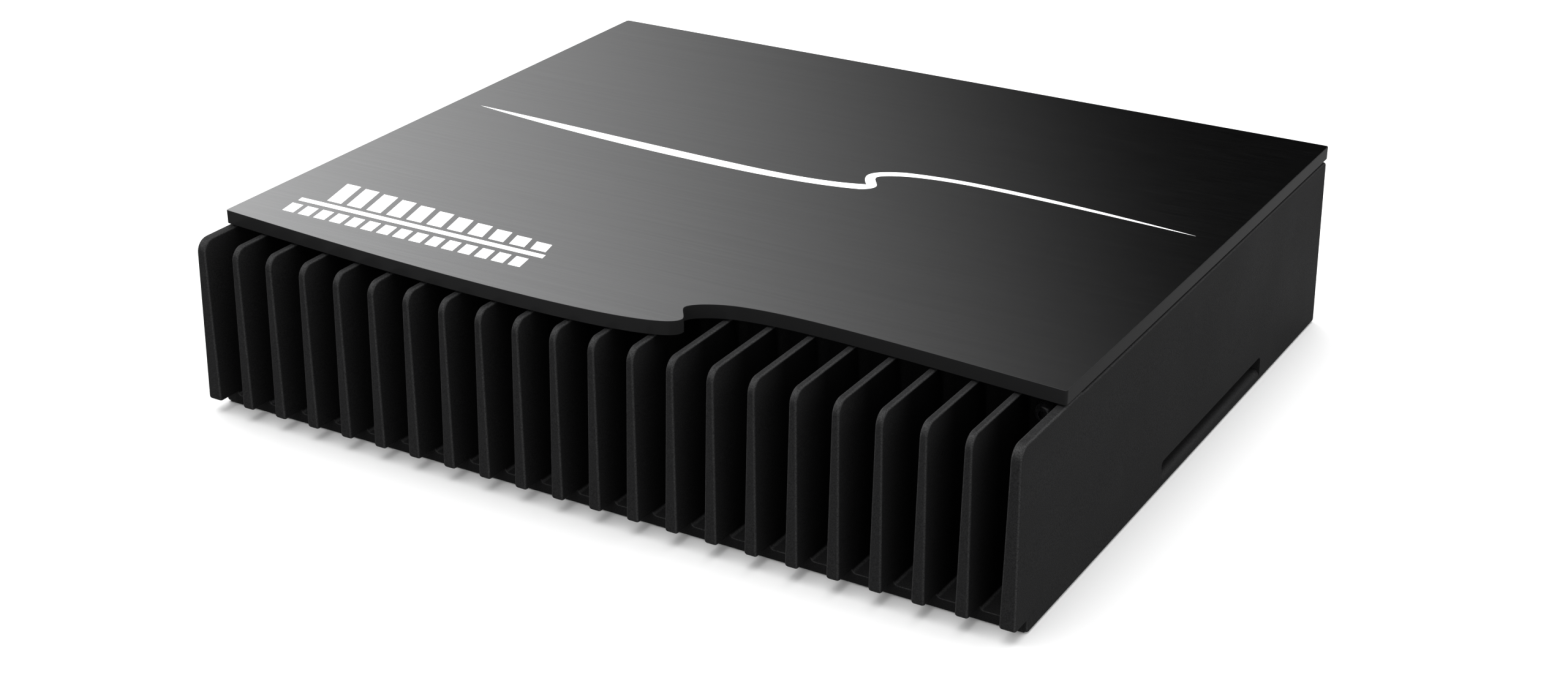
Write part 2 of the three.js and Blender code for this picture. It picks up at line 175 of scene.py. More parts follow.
# ---- mesh making ----
def build(name, verts, faces):
    """A new object from points in millimetres, with its faces turned outwards."""
    mesh = bpy.data.meshes.new(name)
    mesh.from_pydata([(x * MM, y * MM, z * MM) for x, y, z in verts], [], faces)
    shape = bmesh.new()
    shape.from_mesh(mesh)
    bmesh.ops.remove_doubles(shape, verts=shape.verts, dist=1e-7)
    bmesh.ops.recalc_face_normals(shape, faces=shape.faces)
    shape.to_mesh(mesh)
    shape.free()
    obj = bpy.data.objects.new(name, mesh)
    bpy.context.scene.collection.objects.link(obj)
    return obj


def skin(name, rings):
    """A closed solid through rings of equal length, flat at both ends."""
    count = len(rings[0])
    verts = [point for ring in rings for point in ring]
    faces = []
    for level in range(len(rings) - 1):
        low = level * count
        high = low + count
        for i in range(count):
            j = (i + 1) % count
            faces.append((low + i, low + j, high + j, high + i))
    faces.append(tuple(range(count)))
    faces.append(tuple(range(len(verts) - count, len(verts))))
    return build(name, verts, faces)


def quarter(steps):
    return [math.pi / 2 * k / steps for k in range(steps + 1)]


def flat_xy(u, v, w):
    return (u, v, w)


def flat_xz(u, v, w):
    return (u, w, v)


def slab(name, outline, low, high, edge=0.0, plane=flat_xy, steps=3, both=True):
    """An outline given a thickness from low to high, with its edges rounded by edge."""
    if edge <= 0:
        levels = [(0, low), (0, high)]
    else:
        arc = [(edge * (1 - math.sin(a)), edge * (1 - math.cos(a))) for a in quarter(steps)]
        levels = [(d, low + h) for d, h in arc] if both else [(0, low)]
        levels += [(d, high - h) for d, h in reversed(arc)]
    return skin(name, [[plane(p.x, p.y, w) for p in inset(outline, d)] for d, w in levels])


def box(name, x0, x1, y0, y1, z0, z1, edge=0.0, steps=2):
    return slab(name, rectangle(x0, x1, y0, y1, edge, 3), z0, z1, edge, steps=steps)


def rod_y(name, radius, x, z, y0, y1, sides=40, edge=0.0):
    return slab(name, circle(x, z, radius, sides), y0, y1, edge, flat_xz)


def rod_z(name, radius, x, y, z0, z1, sides=40, edge=0.0):
    return slab(name, circle(x, y, radius, sides), z0, z1, edge)


def turned(name, profile, centre, axis, sides=56):
    """A profile of (radius, height) turned about a line along Y or Z.

    A profile that ends where it starts makes a ring.
    """
    rings = []
    for radius, height in profile:
        ring = []
        for k in range(sides):
            a = 2 * math.pi * k / sides
            u = centre[0] + radius * math.cos(a)
            v = centre[1] + radius * math.sin(a)
            ring.append((u, height, v) if axis == "Y" else (u, v, height))
        rings.append(ring)
    closed = profile[0] == profile[-1]
    if not closed:
        return skin(name, rings)
    verts = [p for ring in rings[:-1] for p in ring]
    faces = []
    loops = len(rings) - 1
    for level in range(loops):
        low = level * sides
        high = ((level + 1) % loops) * sides
        for i in range(sides):
            j = (i + 1) % sides
            faces.append((low + i, low + j, high + j, high + i))
    return build(name, verts, faces)


def combine(target, tools, operation):
    """Adds or cuts away the tools, which are used up."""
    for tool in tools:
        step = target.modifiers.new(operation, "BOOLEAN")
        step.operation = operation
        step.solver = "MANIFOLD"
        step.object = tool
        settle(target)
        spent = tool.data
        bpy.data.objects.remove(tool)
        bpy.data.meshes.remove(spent)
    return target


def settle(obj):
    """Applies every modifier on obj to its mesh."""
    bpy.context.view_layer.update()
    graph = bpy.context.evaluated_depsgraph_get()
    mesh = bpy.data.meshes.new_from_object(obj.evaluated_get(graph))
    old = obj.data
    obj.modifiers.clear()
    obj.data = mesh
    mesh.name = obj.name
    bpy.data.meshes.remove(old)


def bevel(obj, width, segments=2, angle=35):
    """Rounds every edge sharper than angle, which is in degrees."""
    edge = obj.modifiers.new("edge", "BEVEL")
    edge.width = width * MM
    edge.segments = segments
    edge.limit_method = "ANGLE"
    edge.angle_limit = math.radians(angle)
    edge.harden_normals = False
    settle(obj)
    return obj


def smooth(obj, angle=32):
    """Smooth shading that stays crisp across sharp edges and flat on large faces."""
    mesh = obj.data
    mesh.shade_smooth()
    mesh.set_sharp_from_angle(angle=math.radians(angle))
    weigh = obj.modifiers.new("weigh", "WEIGHTED_NORMAL")
    weigh.keep_sharp = True
    weigh.weight = 60


def dress(obj, material, body=CHASSIS, nodes=()):
    """Gives a piece its material and body, and hides the CAD nodes it stands for."""
    obj.data.materials.clear()
    obj.data.materials.append(material)
    smooth(obj)
    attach(obj, body)
    if nodes:
        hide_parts(*nodes)
    return obj


# ---- materials ----
class Nodes:
    """A short way to write a material's nodes."""

    def __init__(self, name):
        self.material = bpy.data.materials.new(name)
        self.material.use_nodes = True
        self.tree = self.material.node_tree
        self.shader = self.tree.nodes["Principled BSDF"]
        self.coords = self.add("ShaderNodeTexCoord").outputs["Object"]

    def add(self, kind, **values):
        node = self.tree.nodes.new(kind)
        for key, value in values.items():
            setattr(node, key, value)
        return node

    def link(self, source, target):
        self.tree.links.new(source, target)

    def stretched(self, scale):
        mapping = self.add("ShaderNodeMapping")
        mapping.inputs["Scale"].default_value = scale
        self.link(self.coords, mapping.inputs["Vector"])
        return mapping.outputs["Vector"]

    def noise(self, scale, detail=2.0, rough=0.5, vector=None):
        node = self.add("ShaderNodeTexNoise")
        node.inputs["Scale"].default_value = scale
        node.inputs["Detail"].default_value = detail
        node.inputs["Roughness"].default_value = rough
        self.link(vector or self.coords, node.inputs["Vector"])
        return node.outputs["Fac"]

    def spread(self, source, low, high, from_low=0.3, from_high=0.7):
        node = self.add("ShaderNodeMapRange")
        node.inputs["From Min"].default_value = from_low
        node.inputs["From Max"].default_value = from_high
        node.inputs["To Min"].default_value = low
        node.inputs["To Max"].default_value = high
        self.link(source, node.inputs["Value"])
        return node.outputs["Result"]

    def blend(self, factor, first, second):
        """A mix of two colours, each of them a tuple or another node's output."""
        node = self.add("ShaderNodeMix", data_type="RGBA")
        for key, colour in (("A", first), ("B", second)):
            if isinstance(colour, tuple):
                node.inputs[key].default_value = (*colour, 1)
            else:
                self.link(colour, node.inputs[key])
        self.link(factor, node.inputs["Factor"])
        return node.outputs["Result"]

    def maths(self, operation, first, second=None):
        """One sum on an output and, where it needs two, a second output or a number."""
        node = self.add("ShaderNodeMath", operation=operation)
        self.link(first, node.inputs[0])
        if isinstance(second, float):
            node.inputs[1].default_value = second
        elif second:
            self.link(second, node.inputs[1])
        return node.outputs[0]

    def split(self, vector):
        node = self.add("ShaderNodeSeparateXYZ")
        self.link(vector, node.inputs["Vector"])
        return [node.outputs[axis] for axis in "XYZ"]

    def normal(self):
        return self.add("ShaderNodeNewGeometry").outputs["Normal"]

    def bump(self, height, strength, distance, normal=None):
        node = self.add("ShaderNodeBump")
        node.inputs["Strength"].default_value = strength
        node.inputs["Distance"].default_value = distance * MM
        self.link(height, node.inputs["Height"])
        if normal:
            self.link(normal, node.inputs["Normal"])
        return node.outputs["Normal"]

    def set(self, **values):
        for key, value in values.items():
            self.shader.inputs[key.replace("_", " ")].default_value = value

    def wire(self, **sources):
        for key, source in sources.items():
            self.link(source, self.shader.inputs[key.replace("_", " ")])


COAT_DARK = (0.0120, 0.0120, 0.0123)
COAT_LIGHT = (0.0225, 0.0225, 0.0230)
RECESS_SHADE_DARK = (0.0015, 0.0015, 0.0016)
EDGE_HIGHLIGHT_DARK = (0.021, 0.021, 0.0214)
EDGE_HIGHLIGHT_LIGHT = (0.046, 0.046, 0.0465)


def edge_highlight_mask(m):
    """Where the highlight is painted: 0 on faces square to the axes and 1 on rounded edges between
    them.
    """
    x, y, z = [m.maths("ABSOLUTE", part) for part in m.split(m.normal())]
    widest = m.maths("MAXIMUM", m.maths("MAXIMUM", x, y), z)
    return m.spread(widest, 0, 1, 0.985, 0.82)


def recess_shade_mask(m):
    """Where shade is painted: 1 on the upright faces deep between the fins, fading to 0 at their front
    edges.
    """
    x, y, _ = m.split(m.coords)
    facing_up = m.split(m.normal())[2]
    deep = m.spread(y, 0, 1, -0.1095, -0.094)
    between = m.spread(m.maths("ABSOLUTE", x), 1, 0, 0.1235, 0.1245)
    upright = m.spread(facing_up, 1, 0, 0.2, 0.6)
    return m.maths("MULTIPLY", m.maths("MULTIPLY", deep, between), upright)


def off_sill(m):
    """Near 0 on the rolled sill below each bracket slot, which gets no painted highlight, and 1
    elsewhere.
    """
    _, y, z = m.split(m.coords)
    behind = m.spread(y, 0, 1, -0.03, -0.02)
    low = m.spread(z, 1, 0, 0.0037, 0.0045)
    return m.spread(m.maths("MULTIPLY", behind, low), 1, 0.15, 0, 1)


def powder_coat():
    """Fine-grained coating, with a painted highlight along its rounded edges and painted shade deep
    between the fins.
    """
    m = Nodes("powder_coat")
    grain = m.noise(3000, 2.0, 0.55)
    cloud = m.noise(35, 3.0)
    speckle = m.spread(grain, 0, 1, 0.32, 0.68)
    coat = m.blend(speckle, COAT_DARK, COAT_LIGHT)
    painted_highlight = m.blend(speckle, EDGE_HIGHLIGHT_DARK, EDGE_HIGHLIGHT_LIGHT)
    # Painted highlight: rounded edges get a lighter base colour, except on the sill below each slot.
    edged = m.blend(m.maths("MULTIPLY", edge_highlight_mask(m), off_sill(m)), coat, painted_highlight)
    # Painted shade: the base colour goes near-black deep between the fins, where shade falls.
    painted_shade = m.spread(recess_shade_mask(m), 0, 0.85, 0, 1)
    m.set(Metallic=0.0, IOR=1.09, Specular_IOR_Level=0.5)
    m.wire(
        Base_Color=m.blend(painted_shade, edged, RECESS_SHADE_DARK),
        Roughness=m.spread(cloud, 0.42, 0.48),
        Normal=m.bump(grain, 0.6, 0.09),
    )
    return m.material


def brushed_plate():
    """Metal brushed along X on the top face; the edges get a near-black non-metal base, painted shade
    that keeps them dark.
    """
    m = Nodes("brushed_plate")
    fine = m.noise(1.0, 3.0, 0.6, m.stretched((90, 9000, 9000)))
    broad = m.noise(1.0, 2.0, 0.5, m.stretched((20, 1500, 1500)))
    top = m.spread(m.split(m.normal())[2], 0, 1, 0.97, 0.999)
    face = m.blend(m.spread(broad, 0, 1), (0.193, 0.194, 0.196), (0.213, 0.214, 0.216))
    m.set(IOR=1.12)
    m.wire(
        Metallic=top,
        # Painted shade: the side faces are near-black non-metal so the plate's edges read dark.
        Base_Color=m.blend(top, (0.015, 0.015, 0.0153), face),
        Roughness=m.spread(fine, 0.16, 0.22),
        Normal=m.bump(fine, 0.09, 0.02),
    )
    return m.material


def white_print_with_painted_glow():
    """White ink with a faint painted glow."""
    m = Nodes("white_print_with_painted_glow")
    grain = m.noise(2600, 2.0)
    m.wire(
        Base_Color=m.blend(m.spread(grain, 0, 1), (0.86, 0.86, 0.86), (0.93, 0.93, 0.93)),
        Roughness=m.spread(grain, 0.42, 0.55),
    )
    # Painted light: the ink glows faintly, though it is no lamp.
    m.set(Emission_Color=(1, 1, 1, 1), Emission_Strength=0.25)
    return m.material


def metal(name, dark, light, rough, scale=900, metallic=1.0, bump=0.08):
    m = Nodes(name)
    grain = m.noise(scale, 3.0, 0.6)
    m.set(Metallic=metallic)
    m.wire(
        Base_Color=m.blend(m.spread(grain, 0, 1), dark, light),
        Roughness=m.spread(grain, rough - 0.05, rough + 0.06),
        Normal=m.bump(grain, bump, 0.03),
    )
    return m.material


def plastic(name, dark, light, rough, scale=1500, specular=0.4, bump=0.12):
    m = Nodes(name)
    grain = m.noise(scale, 2.0, 0.6)
    m.set(Specular_IOR_Level=specular)
    m.wire(
        Base_Color=m.blend(m.spread(grain, 0, 1), dark, light),
        Roughness=m.spread(grain, rough - 0.04, rough + 0.06),
        Normal=m.bump(grain, bump, 0.03),
    )
    return m.material


FLOOR_BOUNCE = 0.25


def floor_white():
    """White to look at, but it throws little light back up at the underside and the fins."""
    m = Nodes("floor_white")
    path = m.add("ShaderNodeLightPath").outputs["Is Camera Ray"]
    m.wire(Base_Color=m.spread(path, FLOOR_BOUNCE, 0.8, 0, 1))
    m.set(Roughness=0.9, Specular_IOR_Level=0.0)
    m.set(Emission_Color=(1, 1, 1, 1), Emission_Strength=0.02)
    return m.material


POWDER = powder_coat()
BRUSHED = brushed_plate()
PRINT = white_print_with_painted_glow()
SHEET = plastic("satin_sheet", (0.012, 0.012, 0.0125), (0.020, 0.020, 0.021), 0.45, 2800)
BLACK_SCREW = metal("black_oxide", (0.012, 0.012, 0.013), (0.03, 0.03, 0.032), 0.24, 1400, 0.6)
ZINC = metal("zinc", (0.56, 0.56, 0.545), (0.63, 0.63, 0.61), 0.27, 2400, 1.0, 0.04)
GOLD = metal("gold_flash", (0.78, 0.56, 0.22), (0.90, 0.70, 0.34), 0.20, 1300)
COPPER = metal("enamelled_wire", (0.36, 0.13, 0.05), (0.55, 0.24, 0.10), 0.28, 700)
BLACK_PLASTIC = plastic("black_plastic", (0.010, 0.010, 0.011), (0.018, 0.018, 0.019), 0.42)
KNOB_PLASTIC = plastic("knob_plastic", (0.012, 0.012, 0.013), (0.022, 0.022, 0.023), 0.38)
GREY_PLASTIC = plastic("grey_plastic", (0.50, 0.50, 0.48), (0.60, 0.60, 0.58), 0.45)
WHITE_INSULATOR = plastic("white_insulator", (0.72, 0.71, 0.68), (0.80, 0.79, 0.76), 0.35)
RED_INSULATOR = plastic("red_insulator", (0.42, 0.012, 0.012), (0.52, 0.02, 0.018), 0.35)
BOARD_GREEN = plastic("solder_resist", (0.008, 0.06, 0.025), (0.014, 0.09, 0.04), 0.35, 260)
DARK_MOULD = plastic("dark_mould", (0.03, 0.032, 0.036), (0.05, 0.053, 0.058), 0.5)
CAN_SLEEVE = plastic("can_sleeve", (0.010, 0.012, 0.03), (0.02, 0.022, 0.05), 0.3)
SILICONE = plastic("silicone_pad", (0.44, 0.45, 0.46), (0.52, 0.53, 0.54), 0.7, 600)
LENS = plastic("blue_lens", (0.10, 0.30, 0.72), (0.14, 0.36, 0.80), 0.12, 500, 0.5, 0.02)


# ---- casting ----
def wall_half(z):
    """Half the width over the two side walls at a height."""
    return WALL_TOP_HALF + (DECK_TOP - z) * DRAFT


def fin_half(z):
    """Half the thickness of a fin, which tapers from its foot to its top."""
    return (FIN_TOP_THICKNESS + FIN_TAPER * (PLATE_TOP - z)) / 2


def fin_centre(index):
    return (index - (FIN_COUNT - 1) / 2) * FIN_PITCH


def lean(z):
    """Where the drafted front edge of a fin stands at a height."""
    return FIN_FRONT_LOW + (z - FIN_LOW) * DRAFT


def edged_plate(name, outline, left, right):
    """A thin upright plate with an outline in Y and Z; left and right give X at a height."""
    rings = []
    for side, order in ((-1, reversed(quarter(4))), (1, quarter(4))):
        for a in order:
            depth = FIN_ROUND * (1 - math.cos(a))
            narrow = FIN_ROUND * (1 - math.sin(a))
            ring = []
            for p in inset(outline, depth):
                x = right(p.y) - narrow if side > 0 else left(p.y) + narrow
                ring.append((x, p.x, p.y))
            rings.append(ring)
    return skin(name, rings)


def fin(index):
    outline = rounded([
        (lean(FIN_LOW), FIN_LOW, FIN_FOOT_CORNER),
        (FRONT_WALL + 2, FIN_LOW, 0),
        (FRONT_WALL + 2, FIN_TOP, 0),
        (lean(FIN_TOP), FIN_TOP, FIN_CORNER),
    ], 8)
    centre = fin_centre(index)
    left, right = (lambda z: centre - fin_half(z)), (lambda z: centre + fin_half(z))
    return edged_plate(f"fin_{index}", outline, left, right)


def side_wall(side):
    """The end fin and the side wall behind it are one drafted plate."""
    outline = rounded([
        (lean(FIN_LOW), FIN_LOW, FIN_FOOT_CORNER),
        (LEDGE_FRONT, FIN_LOW, 0),
        (LEDGE_FRONT, 0, FIN_FOOT_CORNER),
        (WALL_BACK, 0, FIN_FOOT_CORNER),
        (WALL_BACK, DECK_TOP, FIN_FOOT_CORNER),
        (FRONT_WALL + 2, DECK_TOP, 0),
        (FRONT_WALL + 2, FIN_TOP, 0),
        (lean(FIN_TOP), FIN_TOP, FIN_CORNER),
    ], 8)
    centre = abs(fin_centre(0))
    if side > 0:
        return edged_plate("wall", outline, lambda z: centre - fin_half(z), wall_half)
    return edged_plate("wall", outline, lambda z: -wall_half(z), lambda z: fin_half(z) - centre)


def ledge():
    """The base between the fins, scooped to a fillet beside each fin."""
    outline = [Vector((-wall_half(0) + 1, 0)), Vector((wall_half(0) - 1, 0))]
    for index in reversed(range(FIN_COUNT - 1)):
        right = fin_centre(index + 1) - fin_half(FIN_LOW) + OVERLAP
        left = fin_centre(index) + fin_half(FIN_LOW) - OVERLAP
        top = GROOVE_FLOOR + GROOVE_FILLET
        for a in quarter(6):
            x = right - GROOVE_FILLET + GROOVE_FILLET * math.cos(a)
            outline.append(Vector((x, top - GROOVE_FILLET * math.sin(a))))
        for a in reversed(quarter(6)):
            x = left + GROOVE_FILLET - GROOVE_FILLET * math.cos(a)
            outline.append(Vector((x, top - GROOVE_FILLET * math.sin(a))))
    return slab("ledge", outline, LEDGE_FRONT, FRONT_WALL + 2, 0.35, flat_xz)


def front_wall_fillets():
    """Fillets where the front wall meets the sides of the fins."""
    points = []
    for index in range(FIN_COUNT - 1):
        left = fin_centre(index) + fin_half(FIN_TOP) - OVERLAP
        right = fin_centre(index + 1) - fin_half(FIN_TOP) + OVERLAP
        for a in quarter(5):
            reach = WALL_FILLET * (1 - math.cos(a))
            y = FRONT_WALL - WALL_FILLET * (1 - math.sin(a))
            points += [Vector((left + reach, y)), Vector((right - reach, y))]
    points.sort(key=lambda p: p.x)
    back = BAY_FRONT - 1
    outline = [Vector((-FILLETS_END, back))] + points + [Vector((FILLETS_END, back))]
    return slab("fillets", outline[::-1], 1, DECK_TOP - 0.2)


def slot_cutter(side):
    """A long slot with round upper corners; its sill is rolled off to the outside by sill_cutter."""
    inner = wall_half(SLOT_Z[1]) - SLOT_DEPTH
    outer = wall_half(0) + 3
    y0, y1 = SLOT_Y
    z0, z1 = SLOT_Z
    outline = rounded([(y0, z0, 0), (y1, z0, 0), (y1, z1, SLOT_CORNER), (y0, z1, SLOT_CORNER)], 8)
    rings = [[(side * x, p.x, p.y) for p in outline] for x in (inner, outer)]
    return skin("slot", rings)


def sill_cutter(side):
    face = wall_half(SLOT_Z[0])
    y0, y1 = SLOT_Y
    z0 = SLOT_Z[0]
    arc = [(face - SILL_ROUND + SILL_ROUND * math.sin(a), z0 - SILL_ROUND + SILL_ROUND * math.cos(a))
           for a in quarter(8)]
    section = [(face - SILL_ROUND, z0 + 1)] + arc + [(face + 2, z0 - SILL_ROUND), (face + 2, z0 + 1)]
    rings = [[(side * x, y, z) for x, z in section] for y in (y0, y1)]
    return skin("sill", rings)


def casting():
    """One shell over an open bay, with its fins, ledge, posts and bores."""
    body = box("heatsink_casting_shell", -SHELL_HALF, SHELL_HALF, FRONT_WALL, WALL_BACK - 0.5,
               0.3, DECK_TOP, 0.5)
    bay = box("bay", -BAY_HALF, BAY_HALF, BAY_FRONT, 130, -1, DECK_LOW)
    combine(body, [bay], "DIFFERENCE")
    added = [side_wall(-1), side_wall(1), ledge(), front_wall_fillets()]
    added += [fin(index) for index in range(1, FIN_COUNT - 1)]
    for side in (-1, 1):
        x0, x1 = sorted((side * 110.5, side * (BAY_HALF + 1)))
        added.append(box("rail", x0, x1, SLOT_Y[0] - 3, SLOT_Y[1] + 3, 2.6, 11))
    for x, y in PLATE_FIXINGS:
        added.append(rod_z("pad", 6, x, y, DECK_LOW + 1, PLATE_LOW, 32))
    for x, y in COVER_FIXINGS:
        x0, x1 = sorted((x, math.copysign(BAY_HALF + 1, x)))
        added.append(rod_z("post", 4, x, y, 2.6, DECK_LOW + 1, 32))
        added.append(box("web", x0, x1, y - 2, y + 2, 2.6, DECK_LOW + 1))
    for x, y in BOARD_FIXINGS:
        added.append(rod_z("post", 4, x, y, BOARD_TOP, DECK_LOW + 1, 32))
    combine(body, added, "UNION")
    cut = []
    for side in (-1, 1):
        cut += [slot_cutter(side), sill_cutter(side)]
        cut.append(rod_y("hole", CLAMP_BORE, side * CLAMP_SCREW_X, CLAMP_SCREW_Z, -80, -70, 24))
    cut += [rod_z("hole", PLATE_BORE, x, y, 40, 56, 24) for x, y in PLATE_FIXINGS]
    cut += [rod_z("hole", COVER_BORE, x, y, 1, 10.4, 24) for x, y in COVER_FIXINGS]
    cut += [rod_z("hole", BOARD_BORE, x, y, 10, 21.4, 24) for x, y in BOARD_FIXINGS]
    combine(body, cut, "DIFFERENCE")
    dress(body, POWDER, nodes=["heatsink_casting"])


# ---- cover plate and its printed marks ----
def plate_outline():
    """The plate seen from above: straight at three sides, with the wave along its front."""
    r = 0.9
    edge = PLATE_HALF
    front = bezier((-edge + r, -96.45), [
        ((-91, -99.56), (-55, -102.86), (-19, -102.86)),
        ((-5, -102.86), (12, -102.2), (20.8, -98.86)),
        ((23.6, -97.7), (25.1, -96.4), (25, -94.8)),
        ((24.9, -93.2), (21.8, -90.4), (21.55, -88.6)),
        ((21.3, -86.6), (26, -82.9), (33.5, -81.26)),
        ((39.5, -80.1), (46, -79.76), (53, -79.76)),
        ((72, -79.76), (103, -82.66), (edge - r, -84.38)),
    ], 16)
    right = bezier(front[-1], [((edge - 0.3, -84.4), (edge, -84.1), (edge, -83.4))], 6)
    corners = [(edge, -83, 0), (edge, PLATE_BACK, r), (-edge, PLATE_BACK, r), (-edge, -90, 0)]
    back = rounded(corners, 6)[1:-1]
    left = bezier((-edge, -95.4), [((-edge, -96.1), (-edge + 0.3, -96.42), front[0])], 6)
    return front + right[1:] + back + left[:-1]


def top_plate():
    plate = slab("top_plate_skin", plate_outline(), PLATE_LOW, PLATE_TOP, 0.15)
    holes = [rod_z("hole", 1.6, x, y, 50, 56.4, 24) for x, y in PLATE_FIXINGS]
    combine(plate, holes, "DIFFERENCE")
    dress(plate, BRUSHED, nodes=["top_plate"])


PRINT_LOW = PLATE_TOP - 0.02
PRINT_TOP = PLATE_TOP + 0.025


def accent_line():
    """The white line that follows the plate's wave, drawn out to a point at both ends."""
    lower = bezier((-117.5, 11.5), [
        ((-85, 6.2), (-52, 3.4), (-18.5, 3.4)),
        ((-5, 3.4), (10, 4.4), (20.8, 7.6)),
        ((22.8, 8.6), (24.1, 10.0), (24.08, 11.7)),
        ((24.0, 13.6), (20.9, 16.0), (20.7, 18.2)),
        ((20.6, 20.0), (24.3, 21.9), (28.0, 23.2)),
        ((34.5, 25.2), (42, 26.05), (52, 26.05)),
        ((72, 26.05), (98, 24.0), (118.2, 22.6)),
    ])
    upper = bezier((118.2, 22.6), [
        ((97, 25.4), (70, 28.4), (51, 28.3)),
        ((41, 28.3), (33, 27.3), (26.6, 25.9)),
        ((19.9, 23.4), (17.4, 21.0), (17.6, 18.4)),
        ((17.8, 15.9), (19.6, 13.4), (20.9, 11.87)),
        ((11, 7.7), (-4, 7.1), (-18.5, 7.5)),
        ((-50, 8.2), (-88, 11.0), (-117.5, 11.5)),
    ])
    return slab("accent_line", lower + upper[1:-1], PRINT_LOW, PRINT_TOP)


def slanted(name, x0, x1, y0, y1, slope):
    """A printed bar that leans to the left towards the back."""
    shift = slope * (y1 - y0)
    corners = [(x0, y0), (x1, y0), (x1 - shift, y1), (x0 - shift, y1)]
    return slab(name, [Vector(at) for at in corners], PRINT_LOW, PRINT_TOP)


BARS = 11
BAR_PITCH = 7.1
DASHES = 15
DASH_PITCH = 5.6


def printed_marks():
    """Level bars over a rule over a row of dashes, in place of any name."""
    marks = [accent_line(), slanted("rule", -114.0, -28.9, -80.4, -78.2, 0.2)]
    for k in range(BARS):
        x = -106.6 + k * BAR_PITCH
        height = 13.2 * (1 - 0.62 * (k / (BARS - 1)) ** 1.15)
        marks.append(slanted("bar", x, x + 5.0, -76.5, -76.5 + height, 0.26))
    for k in range(DASHES):
        x = -113.0 + k * DASH_PITCH
        marks.append(slanted("dash", x, x + 3.9, -88.4, -82.6, 0.2))
    for k, mark in enumerate(marks):
        mark.name = f"printed_mark_{k:02d}"
        dress(mark, PRINT)


# ---- sheet metal ----
def bottom_cover():
    outline = rectangle(-BAY_HALF + GAP, BAY_HALF - GAP, BAY_FRONT + GAP, PANEL_Y1, 0.8)
    cover = slab("bottom_cover_skin", outline, 0.8, 2.3, 0.25)
    sink = [(3.9, 0.6), (3.7, 0.85), (1.8, 2.2), (1.8, 2.6)]
    combine(cover, [turned("sink", sink, at, "Z", 40) for at in COVER_FIXINGS], "DIFFERENCE")
    dress(cover, SHEET, nodes=["bottom_cover"])


def connector_panel():
    """The sheet panel with a hole or window for each control, jack and terminal."""
    outline = rectangle(-BAY_HALF + GAP, BAY_HALF - GAP, 2.6, DECK_LOW - GAP, 0.6)
    panel = slab("connector_panel_skin", outline, PANEL_Y0, PANEL_Y1, 0.2, flat_xz)
    cuts = [rod_y("hole", 5.8, x, z, 90, 110) for x, z in INPUT_JACKS + PREOUT_JACKS]
    cuts += [rod_y("hole", 3.6, x, KNOB_Z, 90, 110) for x in KNOBS]
    cuts.append(rod_y("hole", 2.0, *LIGHT, 90, 110))
    for x in SWITCHES:
        cuts.append(window(x - 4.4, x + 4.4, SWITCH_Z - 2.2, SWITCH_Z + 2.2))
    cuts.append(window(USB[0] - 6.4, USB[0] + 6.4, BOARD_TOP - GAP, USB[1] + 5.8))
    cuts.append(window(REMOTE[0] - 6.4, REMOTE[0] + 6.4, REMOTE[1] - 5.4, REMOTE[1] + 5.4))
    cuts.append(window(SPEAKER["x0"] - GAP, SPEAKER["x1"] + GAP, BOARD_TOP, 34.3))
    cuts.append(window(POWER["x0"] - GAP, POWER["x1"] + GAP, BOARD_TOP, 36.3))
    combine(panel, cuts, "DIFFERENCE")
    dress(panel, SHEET, nodes=["connector_panel"])


def window(x0, x1, z0, z1, radius=0.5, y0=90, y1=112):
    """A straight cutter along Y with rounded corners."""
    return slab("window", rectangle(x0, x1, z0, z1, radius), y0, y1, 0, flat_xz)


# ---- screws ----
def hexagon(centre, radius):
    return circle(*centre, radius, 6)


def cover_screws():
    for k, at in enumerate(COVER_FIXINGS):
        profile = [(3.1, 0.85), (3.3, 0.95), (3.3, 1.1), (1.4, 2.4), (1.4, 9.6), (1.0, 10.0)]
        screw = turned(f"cover_screw_skin_{k + 1}", profile, at, "Z", 40)
        combine(screw, [slab("drive", hexagon(at, 1.2), 0, 1.9)], "DIFFERENCE")
        dress(bevel(screw, 0.08), BLACK_SCREW, nodes=[f"cover_screw_{k + 1}"])


def clamp_screws():
    """Domed heads with a hex socket at the two ends of the fin bank."""
    dome = [(1.5 + 1.6 * math.sin(a), -76.9 - 2.25 * math.cos(a)) for a in quarter(8)]
    profile = dome + [(3.1, -76.3), (2.95, FRONT_WALL), (1.4, FRONT_WALL), (1.4, -61.4), (1.0, -61.0)]
    for side, word in ((-1, "left"), (1, "right")):
        at = (side * CLAMP_SCREW_X, CLAMP_SCREW_Z)
        screw = turned(f"clamp_screw_skin_{word}", profile, at, "Y", 48)
        drive = slab("drive", hexagon(at, 1.3), -82, -77.6, 0, flat_xz)
        combine(screw, [drive], "DIFFERENCE")
        dress(bevel(screw, 0.06), BLACK_SCREW, nodes=[f"clamp_screw_{word}"])


# ---- phono jacks ----
def jack_blocks():
    jack_block("input_jack_block", INPUT_JACKS, 80, 112)
    jack_block("preout_jack_block", PREOUT_JACKS, 58.4, 73.6)


def jack_block(name, jacks, x0, x1):
    """A moulded block with a boss for each jack, and a white (upper) or red (lower) insulator."""
    block = box(f"{name}_skin", x0, x1, 82, PANEL_Y0 - GAP, BOARD_TOP, 44.4, 0.5)
    combine(block, [rod_y("boss", 5.5, x, z, 90, 99.4, 56, 0.45) for x, z in jacks], "UNION")
    dress(block, BLACK_PLASTIC, nodes=[name])
    for k, (x, z) in enumerate(jacks):
        tube = [
            (3.2, 99.0), (3.2, 105.9), (3.1, 106.2), (2.85, 106.4),
            (2.0, 106.4), (1.6, 106.0), (1.6, 99.0), (3.2, 99.0),
        ]
        core = turned(f"{name}_insulator_{k + 1}", tube, (x, z), "Y")
        dress(core, WHITE_INSULATOR if z > 30 else RED_INSULATOR)


